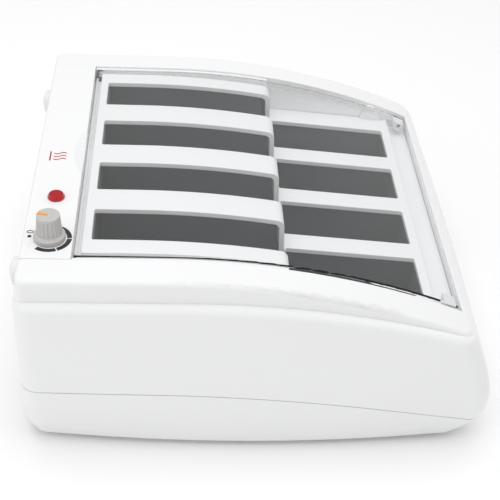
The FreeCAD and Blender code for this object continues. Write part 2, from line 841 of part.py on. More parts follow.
add_shape("heated_well", heated_well())
for number in (1, 2, 3):
    well_divider(f"well_divider_{number}", (number - 2) * slot_pitch)
plate_body(
    "heating_mat", "XY_Plane",
    [("-92", "-96.5"), ("-36", "-96.5"), ("-36", "-117"), ("-17", "-117"), ("-17", "-96.5"),
     ("92", "-96.5"), ("92", "97.5"), ("-92", "97.5")],
    "dims.mat_thick",
    Placement(Vector(0, 0, size("well_floor") - size("mat_thick")), Rotation()),
)
add_shape("insulation_blanket", insulation_blanket())
add_shape("heat_shield", heat_shield())
add_group("well_standoffs", [standoff(x, y) for x, y in STANDOFFS])
add_group("well_screws", [
    screw(Vector(x, y, FLOOR), Vector(x, y, STANDOFF_SEAT + 10), 3.6, 2.6, 2.0)
    for x, y in STANDOFFS
])
add_group("housing_screws", [
    screw(Vector(side * POST_X, y, top - POST_SEAT), Vector(side * POST_X, y, top + 12), 3.6, 2.6, 1.7)
    for side in (-1, 1) for y, top in POSTS
])
add_group("deck_screws", [
    screw(Vector(side * LUG_X, y, deck_under(y) - 9), Vector(side * LUG_X, y, deck_under(y) - 1),
          2.8, 1.8, 1.2)
    for side in (-1, 1) for y in LUGS
])

# ---------------------------------------------------------------- controls

control = Vector(size("control_across"), control_y, panel_top)
KNOB_NECK = 4.2
FLUTES = 18
knob_corners = [
    ("0", "dims.knob_height"),
    ("dims.knob_head / 2", "dims.knob_height"),
    ("dims.knob_waist / 2", f"{KNOB_NECK}"),
    ("dims.knob_skirt / 2", "2.6"),
    ("dims.knob_skirt / 2", "0"),
    ("7.4", "0"),
    ("7.4", "3.2"),
    ("dims.shaft_diameter / 2", "3.2"),
    ("dims.shaft_diameter / 2", "14"),
    ("0", "14"),
]
knob_seat = control + Vector(0, 0, size("knob_gap"))
knob = turned_body("control_knob", knob_corners, Placement(knob_seat, Rotation()))
doc.recompute()
flute_sketch = knob.newObject("Sketcher::SketchObject", "knob_flute")
flute_sketch.AttachmentSupport = [(origin_plane(knob, "XY_Plane"), "")]
flute_sketch.MapMode = "FlatFace"
taper = math.atan2(size("knob_waist") - size("knob_head"), 2 * (size("knob_height") - KNOB_NECK))
flute_at = Vector(size("knob_waist") / 2 + 0.3, 0, KNOB_NECK + 0.8)
flute_lean = Rotation(Vector(0, 1, 0), -math.degrees(taper))
flute_sketch.AttachmentOffset = Placement(flute_at, flute_lean)
add_circle(flute_sketch, "0", "0", "0.85")
flute = knob.newObject("PartDesign::Pocket", "knob_flute_cut")
flute.Profile = flute_sketch
flute.Reversed = True
flute.setExpression("Length", "dims.knob_height - 7.2")
doc.recompute()
flutes = knob.newObject("PartDesign::PolarPattern", "knob_flutes")
flutes.Originals = [flute]
flutes.Axis = (origin_plane(knob, "Z_Axis"), [""])
flutes.Angle = 360
flutes.Occurrences = FLUTES
knob.Tip = flutes
pointer_corners = [
    ("-0.5", "0.4"),
    ("0.5", "0.4"),
    ("1.3", "dims.knob_head / 2 - 0.3"),
    ("-1.3", "dims.knob_head / 2 - 0.3"),
]
groove_sketch = sheet_sketch(knob, "pointer_groove", "XY_Plane", pointer_corners)
groove_sketch.setExpression("AttachmentOffset.Base.z", "dims.knob_height - dims.pointer_depth")
groove = knob.newObject("PartDesign::Pocket", "pointer_groove_cut")
groove.Profile = groove_sketch
groove.Reversed = True
groove.Length = 3
knob.Tip = groove
doc.recompute()
off_turn = Rotation(Vector(0, 0, 1), -size("off_angle"))
knob.Placement = Placement(knob_seat, off_turn)
plate_body(
    "knob_pointer", "XY_Plane", pointer_corners, "dims.pointer_depth + 0.25",
    Placement(knob_seat + Vector(0, 0, size("knob_height") - size("pointer_depth")), off_turn),
)
CONTROL_DROP = 22.7
SHAFT_FOOT = 8.6
turned_body("control_shaft", [
    ("0", "0"),
    ("dims.shaft_diameter / 2", "0"),
    ("dims.shaft_diameter / 2", "31.5"),
    ("dims.shaft_diameter / 2 - 0.6", "32.1"),
    ("0", "32.1"),
], Placement(Vector(control.x, control.y, panel_under - CONTROL_DROP + SHAFT_FOOT), Rotation()))
bore = "(dims.shaft_diameter + dims.shaft_play) / 2"
turned_body("temperature_control", [
    ("0", "0"),
    ("9", "0"),
    ("9", "6"),
    ("11", "6"),
    ("11", f"{CONTROL_DROP}"),
    ("3.5", f"{CONTROL_DROP}"),
    ("3.5", "29.4"),
    (bore, "29.4"),
    (bore, "8.4"),
    ("0", "8.4"),
], Placement(Vector(control.x, control.y, panel_under - CONTROL_DROP), Rotation()))
turned_body("control_washer", [
    ("3.6", "0"),
    ("6.5", "0"),
    ("6.5", "0.7"),
    ("3.6", "0.7"),
], Placement(control, Rotation()))


def hexagon(across_flats):
    """Corners of a hexagon as sheet expressions."""
    reach = across_flats / math.sqrt(3)
    corners = []
    for i in range(6):
        angle = math.radians(60 * i)
        corners.append((f"{reach * math.cos(angle):.4f}", f"{reach * math.sin(angle):.4f}"))
    return corners


plate_body("control_nut", "XY_Plane", hexagon(10), "2.2",
           Placement(control + Vector(0, 0, 0.7), Rotation()), [("0", "0", "3.5")])

lamp = Vector(size("lamp_across"), control_y, panel_top)
turned_body("indicator_lens", [
    ("0", "0"),
    ("dims.lens_diameter / 2", "0"),
    ("dims.lens_diameter / 2", "1.1"),
    ("dims.lens_diameter / 2 - 0.3", "1.4"),
    ("dims.lens_diameter / 2 - 0.7", "dims.lens_height - 0.3"),
    ("dims.lens_diameter / 2 - 1", "dims.lens_height"),
    ("0", "dims.lens_height + 0.25"),
], Placement(lamp, Rotation()))
lamp_drop = 29.0
turned_body("indicator_body", [
    ("0", "0"),
    ("3.4", "0"),
    ("3.4", "5"),
    ("4.5", "5"),
    ("4.5", "29"),
    ("0", "29"),
], Placement(lamp - Vector(0, 0, lamp_drop), Rotation()))
plate_body("indicator_nut", "XY_Plane", hexagon(13), "3",
           Placement(Vector(lamp.x, lamp.y, panel_under - 3), Rotation()), [("0", "0", "4.6")])

# ---------------------------------------------------------------- circuit board and power

board_face = BOARD_BACK + size("board_thick")


def board_block(left, right, low, high, tall):
    """Box that stands on the board's inner face."""
    return block(left, right, board_face, board_face + tall, low, high)


plate_body(
    "circuit_board", "XZ_Plane",
    [("0", "0"), ("dims.board_width", "0"), ("dims.board_width", "dims.board_height"),
     ("0", "dims.board_height")],
    "dims.board_thick",
    Placement(Vector(BOARD_LEFT, board_face, BOARD_LOW), Rotation()),
    [("4", "4", "1.6"), ("dims.board_width - 4", "4", "1.6"), ("4", "dims.board_height - 4", "1.6"),
     ("dims.board_width - 4", "dims.board_height - 4", "1.6")],
)
add_group("board_screws", [
    screw(Vector(x, board_face, z), Vector(x, front_face + 4, z), 2.6, 1.8, 1.3)
    for x, z in BOARD_POSTS
])
add_group("board_capacitors", [
    rod(radius, Vector(x, board_face, z), Vector(x, board_face + tall, z))
    for x, z, radius, tall in ((-40, 100, 5.0, 15.0), (-28, 101, 4.0, 12.0))
])
suppressor = board_block(-50, -34, 82, 90, 13)
add_shape("suppression_capacitor", suppressor.makeFillet(0.8, suppressor.Edges))
add_shape("board_fuse", rod(2.6, Vector(-24, board_face + 4, 86), Vector(-4, board_face + 4, 86)))
add_group("fuse_clips", [
    board_block(x, x + 3, 82.5, 89.5, 5).cut(rod(2.6, Vector(x - 1, board_face + 4, 86),
                                                 Vector(x + 4, board_face + 4, 86)))
    for x in (-22.5, -8.5)
])
add_group("board_resistors", [
    rod(1.2, Vector(x, board_face + 1.4, z), Vector(x + 7, board_face + 1.4, z))
    for x in (-18, -8) for z in (74, 78)
])
add_shape("board_triac", board_block(1, 11, 94, 109, 4.6))


def triac_heat_sink():
    """Finned aluminium block behind the triac."""
    sink = block(-4, 18, board_face + 4.6, board_face + 16.6, 92, 110)
    for number in range(4):
        left = -1.6 + number * 5.0
        sink = sink.cut(block(left, left + 2.8, board_face + 7.0, board_face + 20, 91, 111))
    return sink


add_shape("triac_heat_sink", triac_heat_sink())
CONNECTORS = [(-54, -41, 69, 77), (-33, -20, 69, 72.5), (12, 20.5, 76, 91)]
add_group("board_connectors", [
    board_block(left, right, low, high, 8) for left, right, low, high in CONNECTORS
])

BLOCK_FRONT = 126.0
BLOCK_TOP = FLOOR + 14.0
INLET_TABS = 128.0
INLET_LEADS = [(7.0, -4.0, -66.0, 121.5, 19.0), (0.0, 4.0, -50.0, 118.5, 16.0),
               (-7.0, -4.0, -34.0, 115.5, 13.0)]
MAINS_X = (-51.0, -44.0)
WIRE = 1.3


def terminal_block():
    """Three-way connector strip on the base floor."""
    strip = block(-74, -26, BLOCK_FRONT, BLOCK_FRONT + 14, FLOOR, BLOCK_TOP)
    for lead in INLET_LEADS:
        port = Vector(lead[2], BLOCK_FRONT - 1, lead[4])
        strip = strip.cut(rod(WIRE + 0.2, port, port + Vector(0, 4, 0)))
        top = Vector(lead[2], BLOCK_FRONT + 10, BLOCK_TOP + 1)
        strip = strip.cut(rod(2.0, top, top - Vector(0, 0, 4)))
    return strip


def power_inlet():
    """Three-pin appliance inlet: flange, body and the socket that the plug enters."""
    flange = plan_prism(rectangle(-24.5, 24.5, -11.5, 11.5, 3), 0, 2.6)
    body = block(-13.6, 13.6, -9.8, 9.8, -20, 0.1)
    socket = plan_prism([(-12.3, -8.2, 0.8), (12.3, -8.2, 0.8), (12.3, 4.4, 0.8), (8.6, 8.2, 0.8),
                         (-8.6, 8.2, 0.8), (-12.3, 4.4, 0.8)], -14, 3)
    shape = flange.fuse(body).cut(socket)
    for side in (-1, 1):
        shape = shape.cut(rod(1.6, Vector(side * 20, 0, -1), Vector(side * 20, 0, 4)))
    for across, up, *_ in INLET_LEADS:
        shape = shape.cut(block(across - 1, across + 1, up - 2, up + 2, -21, -13))
    return shape


def inlet_pins():
    blades = []
    for across, up, *_ in INLET_LEADS:
        blades.append(block(INLET_X + across - 1, INLET_X + across + 1, INLET_TABS, INLET_SEAT - 1.5,
                            INLET_Z + up - 2, INLET_Z + up + 2))
    return blades


add_shape("terminal_block", terminal_block())
# The inlet is drawn flat with its face up, then turned to face the rear, pins downward.
inlet = power_inlet()
inlet.rotate(Vector(0, 0, 0), Vector(1, 0, 0), -90)
inlet.rotate(Vector(0, 0, 0), Vector(0, 1, 0), 180)
add_shape("power_inlet", inlet, Placement(Vector(INLET_X, INLET_SEAT, INLET_Z), Rotation()))
add_group("inlet_pins", inlet_pins())
add_group("inlet_screws", [
    screw(Vector(INLET_X + side * 20, INLET_SEAT + 2.6, INLET_Z),
          Vector(INLET_X + side * 20, INLET_SEAT - 3.5, INLET_Z), 2.8, 1.8, 1.5)
    for side in (-1, 1)
])

# ---------------------------------------------------------------- heat sensing

well_face = -size("well_front")


def thermal_cutout():
    """Bimetal cut-out: a flat can on a mounting plate, with two tabs."""
    plate = block(48, 72, well_face - 0.8, well_face, 80, 90)
    can = rod(7, Vector(60, well_face - 6, 85), Vector(60, well_face - 0.8, 85))
    tabs = block(54, 56, well_face - 12, well_face - 5.9, 83, 87)
    tabs = tabs.fuse(block(64, 66, well_face - 12, well_face - 5.9, 83, 87))
    return plate.fuse([can, tabs])


def saddle_clip(x, z, radius):
    """Sheet clip over a small round part that lies across the well's face."""
    centre = Vector(x, well_face - radius, z)
    outer = rod(radius + 0.8, centre, centre + Vector(6, 0, 0))
    reach = radius + 0.8
    outer = outer.fuse(block(x, x + 6, well_face - radius, well_face, z - reach, z + reach))
    feet = block(x, x + 6, well_face - 0.8, well_face, z - radius - 6, z + radius + 6)
    inner = rod(radius, centre - Vector(1, 0, 0), centre + Vector(7, 0, 0))
    inner = inner.fuse(block(x - 1, x + 7, well_face - radius, well_face + 1, z - radius, z + radius))
    return outer.fuse(feet).cut(inner)


add_shape("thermal_cutout", thermal_cutout())
PROBE_X = -30.0
FUSE_X = 8.0
add_shape("temperature_probe", rod(2.4, Vector(PROBE_X, well_face - 2.4, 96),
                                   Vector(PROBE_X + 14, well_face - 2.4, 96)))
add_shape("thermal_fuse", rod(2.0, Vector(FUSE_X, well_face - 2.0, 96),
                              Vector(FUSE_X + 11, well_face - 2.0, 96)))
add_group("sensor_clips", [saddle_clip(PROBE_X + 4, 96, 2.4), saddle_clip(FUSE_X + 2.5, 96, 2.0)])

# ---------------------------------------------------------------- wiring


def wire(points, bend):
    """Insulated wire along straight runs joined by arcs of radius bend."""
    edges = []
    last = points[0]
    for i in range(1, len(points) - 1):
        here = points[i]
        before = points[i - 1] - here
        after = points[i + 1] - here
        before.normalize()
        after.normalize()
        half = before.getAngle(after) / 2
        reach = bend / math.tan(half)
        inward = before + after
        inward.normalize()
        start = here + before * reach
        middle = here + inward * (bend / math.sin(half) - bend)
        end = here + after * reach
        edges.append(Part.makeLine(last, start))
        edges.append(Part.Arc(start, middle, end).toShape())
        last = end
    edges.append(Part.makeLine(last, points[-1]))
    circle = Part.Wire(Part.makeCircle(WIRE, points[0], points[1] - points[0]))
    return Part.Wire(edges).makePipeShell([circle], True, False)


def wires(label, routes, bend=4.0):
    add_group(label, [wire([Vector(*point) for point in route], bend) for route in routes])


connector_mid = board_face + 4
wires("inlet_wires", [
    [(INLET_X + across, INLET_TABS, INLET_Z + up), (INLET_X + across, y, INLET_Z + up),
     (INLET_X + across, y, z), (port, y, z), (port, BLOCK_FRONT + 3, z)]
    for across, up, port, y, z in INLET_LEADS
], 3.0)
wires("mains_wires", [
    [(x, BLOCK_FRONT + 10, BLOCK_TOP), (x, BLOCK_FRONT + 10, BLOCK_TOP + 6),
     (x, connector_mid, BLOCK_TOP + 6), (x, connector_mid, 69)]
    for x in MAINS_X
])
wires("heater_wires", [
    [(x, well_face - 6, size("well_floor") - size("mat_thick") / 2),
     (x, connector_mid, size("well_floor") - size("mat_thick") / 2), (x, connector_mid, 69)]
    for x in (-29.5, -23.5)
])
wires("lamp_wires", [
    [(lamp.x + dx, lamp.y, lamp.z - lamp_drop), (lamp.x + dx, lamp.y, z), (20.8, connector_mid, z)]
    for dx, z in ((-1.7, 89.0), (1.7, 85.5))
])
wires("control_wires", [
    [(control.x + dx, control.y, panel_under - CONTROL_DROP), (control.x + dx, control.y, z),
     (20.8, connector_mid, z)]
    for dx, z in ((-3.5, 81.5), (0.0, 78.0))
])

# ---------------------------------------------------------------- feet and bumpers

for x, side in ((FEET[0][0], "left"), (FEET[2][0], "right")):
    for y, end in ((FEET[0][1], "front"), (FEET[1][1], "rear")):
        turned_body(f"foot_{end}_{side}", [
            ("0", "1.2"),
            ("3.4", "1.2"),
            ("3.9", "0"),
            ("dims.foot_diameter / 2 - 1", "0"),
            ("dims.foot_diameter / 2", "1"),
            ("dims.foot_diameter / 2 - 0.6", "dims.feet_height"),
            ("0", "dims.feet_height"),
        ], Placement(Vector(x, y, 0), Rotation()))


def front_bumper(side):
    """Round pad with a domed face, seated in the front wall."""
    radius = size("bumper_diameter") / 2
    rise = 2.6
    depth = size("bumper_height") + 1.6
    ball = (radius ** 2 + rise ** 2) / (2 * rise)
    shoulder = Vector(radius, depth - rise, 0)
    tip = Vector(0, depth, 0)
    quarter = math.asin(radius / ball) / 2
    crown = Vector(ball * math.sin(quarter), depth - ball + ball * math.cos(quarter), 0)
    edges = [
        Part.makeLine(Vector(0, 0, 0), Vector(radius, 0, 0)),
        Part.makeLine(Vector(radius, 0, 0), shoulder),
        Part.Arc(shoulder, crown, tip).toShape(),
        Part.makeLine(tip, Vector(0, 0, 0)),
    ]
    pad = Part.Face(Part.Wire(edges)).revolve(Vector(0, 0, 0), Vector(0, 1, 0), 360)
    pad.rotate(Vector(0, 0, 0), Vector(0, 0, 1), 180)
    pad.translate(Vector(side * BUMPER_X, BUMPER_SEAT, BUMPER_Z))
    return pad


for side, name in ((-1, "left"), (1, "right")):
    add_shape(f"front_bumper_{name}", front_bumper(side))

doc.recompute()


def check_and_export():
    """Stops on a failed object, then writes one STEP file for each sub-part."""
    for item in doc.Objects:
        if "Invalid" in item.State or "Error" in item.State:
            raise RuntimeError(f"{item.Label} failed: {item.State}")
    written = 0
    for item in doc.Objects:
        if item.TypeId.startswith(("Sketcher", "Spreadsheet", "App::")):
            continue
        if item.TypeId.startswith("PartDesign::") and item.TypeId != "PartDesign::Body":
            continue
        if item.Shape.isNull() or not item.Shape.isValid():
            raise RuntimeError(f"{item.Label} has no valid shape")
        item.Shape.exportStep(f"parts/{item.Label}.step")
        written += 1
        box = item.Shape.BoundBox
        print(f"{item.Label:26s} solids {len(item.Shape.Solids)} volume {item.Shape.Volume:10.0f}"
              f"  x {box.XMin:7.1f} {box.XMax:7.1f}  y {box.YMin:7.1f} {box.YMax:7.1f}"
              f"  z {box.ZMin:6.1f} {box.ZMax:6.1f}")
    print(written, "parts written")


check_and_export()
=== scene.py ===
import json
import math

import bpy
from mathutils import Matrix, Vector, noise


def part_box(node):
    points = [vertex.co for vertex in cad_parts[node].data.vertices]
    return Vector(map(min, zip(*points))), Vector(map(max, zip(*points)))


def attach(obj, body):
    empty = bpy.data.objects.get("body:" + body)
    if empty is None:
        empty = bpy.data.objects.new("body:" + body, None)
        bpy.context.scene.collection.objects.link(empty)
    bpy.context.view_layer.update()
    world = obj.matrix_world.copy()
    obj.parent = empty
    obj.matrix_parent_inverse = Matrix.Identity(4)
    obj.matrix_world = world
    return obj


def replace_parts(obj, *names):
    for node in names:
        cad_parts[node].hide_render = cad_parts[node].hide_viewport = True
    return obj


# Countertop warmer: a clear arched lid over a stepped deck with four long slots.
# Row frame in metres: +Z up, the control strip faces -Y, the lid is hinged at +Y.

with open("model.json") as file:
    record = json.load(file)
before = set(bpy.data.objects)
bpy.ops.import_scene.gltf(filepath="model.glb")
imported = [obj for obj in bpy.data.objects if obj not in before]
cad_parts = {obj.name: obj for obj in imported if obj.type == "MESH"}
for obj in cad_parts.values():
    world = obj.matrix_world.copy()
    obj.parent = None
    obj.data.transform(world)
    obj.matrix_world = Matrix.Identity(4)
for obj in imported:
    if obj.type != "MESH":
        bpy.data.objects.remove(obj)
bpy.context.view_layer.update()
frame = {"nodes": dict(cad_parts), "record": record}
nodes = frame["nodes"]
MM = 0.001

# ---------------------------------------------------------------- node helpers


class Graph:
    """Short names for building one material's node tree."""

    def __init__(self, name):
        self.material = bpy.data.materials.new(name)
        self.material.use_nodes = True
        self.tree = self.material.node_tree
        self.tree.nodes.clear()
        self.out = self.tree.nodes.new("ShaderNodeOutputMaterial")
        self.place = self.add("ShaderNodeTexCoord").outputs["Object"]

    def add(self, kind, settings=None, **inputs):
        """A node with its settings, and its inputs by name with _ for a space."""
        node = self.tree.nodes.new(kind)
        for key, value in (settings or {}).items():
            setattr(node, key, value)
        for key, value in inputs.items():
            self.put(node, key.replace("_", " "), value)
        return node

    def put(self, node, key, value):
        """Link a socket, or set a constant, on the input called or numbered key."""
        socket = node.inputs[key]
        if isinstance(value, bpy.types.NodeSocket):
            self.tree.links.new(value, socket)
        else:
            socket.default_value = value

    def scaled(self, factors):
        node = self.add("ShaderNodeMapping", Vector=self.place)
        node.inputs["Scale"].default_value = factors
        return node.outputs[0]

    def noise(self, scale, detail=2.0, place=None):
        node = self.add("ShaderNodeTexNoise", Vector=place or self.place, Scale=scale,
                        Detail=detail)
        return node.outputs[0]

    def remap(self, value, span, to_low, to_high):
        node = self.add("ShaderNodeMapRange", Value=value, From_Min=span[0], From_Max=span[1],
                        To_Min=to_low, To_Max=to_high)
        return node.outputs[0]

    def math(self, operation, first, second):
        node = self.add("ShaderNodeMath", {"operation": operation})
        self.put(node, 0, first)
        self.put(node, 1, second)
        return node.outputs[0]

    def mix(self, factor, first, second):
        """Mix two colours. Sockets 6 and 7 are the Mix node's colours, output 2 the result."""
        node = self.add("ShaderNodeMix", {"data_type": "RGBA"})
        self.put(node, 0, factor)
        self.put(node, 6, first)
        self.put(node, 7, second)
        return node.outputs[2]

    def edge_mask(self, radius):
        """0 on flat ground and 1 on edges about radius wide, and the rounded normal."""
        rounded = self.add("ShaderNodeBevel", {"samples": 4}, Radius=radius).outputs[0]
        normal = self.add("ShaderNodeNewGeometry").outputs["Normal"]
        dot = self.add("ShaderNodeVectorMath", {"operation": "DOT_PRODUCT"})
        self.put(dot, 0, rounded)
        self.put(dot, 1, normal)
        return self.remap(dot.outputs["Value"], (1.0, SHARP_EDGE), 0.0, 1.0), rounded

    def finish(self, shader):
        self.tree.links.new(shader.outputs[0], self.out.inputs["Surface"])
        return self.material


BROAD = (0.2, 0.8)          # nearly all of a noise's values
MIDDLE = (0.35, 0.65)       # the middle of them, for a harder pattern
SHARP_EDGE = 0.65           # rounded normal times normal, on a fully worn edge
GLOSS_SCALE = 5.0           # gloss varies this much finer than the colour's clouds
WEAR_SCALE = 22.0           # and wear along an edge this much finer
WEAR_LEAST = 0.25
BRUSH_SHADE, BRUSH_MIX = 0.72, 0.35
SPOT = (0.10, 0.22)         # a speckle's core and rim, as a part of its cell
SPOT_RELIEF = 0.4
THREAD_RELIEF = 0.8
# Painted shade between woven threads: the darker tint's shade, and how much of it the valleys get.
PAINTED_GAP_SHADE, PAINTED_GAP_SHADE_MIX = 0.7, 0.35
COAT_ROUGHNESS = 0.12
SUBSURFACE_REACH = 3 * (0.003,)


def rgba(colour, shade=1.0):
    return (colour[0] * shade, colour[1] * shade, colour[2] * shade, 1.0)


def surface(name, colour, tint, rough, cloud, grain, bump, depth=0.00004, metal=0.0, coat=0.0,
            specular=0.5, edge=0.0003, edge_colour=None, edge_wear=0.0, brushed=None,
            speckle=None, weave=None, sheen=0.0, subsurface=0.0):
    """A finish with cloudy colour, uneven gloss, a fine relief and worn edges.

    cloud, grain and weave are the scales of the clouds, the relief and the threads; a weave also
    paints shade into the valleys between its threads.
    brushed stretches the relief along an axis. speckle is scale, strength and colour.
    """
    g = Graph(name)
    base = g.mix(g.remap(g.noise(cloud, detail=3.0), BROAD, 0.0, 1.0), rgba(colour), rgba(tint))
    place = g.scaled(brushed) if brushed else g.place
    relief = g.noise(grain, detail=4.0, place=place)
    gloss = g.noise(cloud * GLOSS_SCALE, detail=4.0, place=place)
    if brushed:
        base = g.mix(g.remap(relief, MIDDLE, 0.0, BRUSH_MIX), base, rgba(colour, BRUSH_SHADE))
    if speckle:
        scale, strength, spot_colour = speckle
        cells = g.add("ShaderNodeTexVoronoi", Vector=g.place, Scale=scale).outputs["Distance"]
        spots = g.remap(cells, SPOT, 1.0, 0.0)
        base = g.mix(g.math("MULTIPLY", spots, strength), base, rgba(spot_colour))
        relief = g.math("ADD", relief, g.math("MULTIPLY", spots, SPOT_RELIEF))
    if weave:
        across, along = (
            g.add("ShaderNodeTexWave", {"bands_direction": axis}, Vector=g.place, Scale=weave,
                  Distortion=3.0, Detail=2.0).outputs[1] for axis in "XY")
        threads = g.math("MAXIMUM", across, along)
        relief = g.math("ADD", g.math("MULTIPLY", threads, THREAD_RELIEF), relief)
        # Painted shade: the colour darkens in the low valleys between the threads.
        base = g.mix(g.remap(threads, (0.0, 1.0), PAINTED_GAP_SHADE_MIX, 0.0), base,
                     rgba(tint, PAINTED_GAP_SHADE))
    mask, rounded = g.edge_mask(edge)
    if edge_wear:
        patchy = g.remap(g.noise(cloud * WEAR_SCALE, detail=3.0), MIDDLE, WEAR_LEAST, 1.0)
        worn = g.math("MULTIPLY", mask, patchy)
        base = g.mix(g.math("MULTIPLY", worn, edge_wear), base, rgba(edge_colour))
    bumped = g.add("ShaderNodeBump", Strength=bump, Distance=depth, Height=relief,
                   Normal=rounded)
    shader = g.add("ShaderNodeBsdfPrincipled", Base_Color=base,
                   Roughness=g.remap(gloss, BROAD, *rough), Normal=bumped.outputs[0],
                   Metallic=metal, Specular_IOR_Level=specular, Coat_Weight=coat,
                   Coat_Roughness=COAT_ROUGHNESS, Sheen_Weight=sheen,
                   Subsurface_Weight=subsurface, Subsurface_Radius=SUBSURFACE_REACH,
                   Subsurface_Scale=1.0)
    return g.finish(shader)


ACRYLIC_IOR = 1.49
SHEET_CLOUD = 9.0
SHADOW_TINT = (0.985, 0.988, 0.988)
HAZE_PATCHES = (0.55, 0.75)   # the noise values from clear to hazed


def clear_sheet(name, tint, shaded, haze):
    """Clear moulded sheet, slightly uneven in tint and gloss, which lets lamp light through."""
    g = Graph(name)
    broad = g.noise(SHEET_CLOUD, detail=3.0)
    colour = g.mix(g.remap(broad, BROAD, 0.0, 1.0), rgba(tint), rgba(shaded))
    sheet = g.add("ShaderNodeBsdfPrincipled", Base_Color=colour,
                  Roughness=g.remap(broad, HAZE_PATCHES, 0.0, haze), IOR=ACRYLIC_IOR,
                  Transmission_Weight=1.0)
    open_way = g.add("ShaderNodeBsdfTransparent", Color=rgba(SHADOW_TINT))
    path = g.add("ShaderNodeLightPath")
    unseen = g.math("MAXIMUM", path.outputs["Is Shadow Ray"], path.outputs["Is Diffuse Ray"])
    mixed = g.add("ShaderNodeMixShader")
    for index, socket in enumerate((unseen, sheet.outputs[0], open_way.outputs[0])):
        g.put(mixed, index, socket)
    return g.finish(mixed)


# ---------------------------------------------------------------- finishes

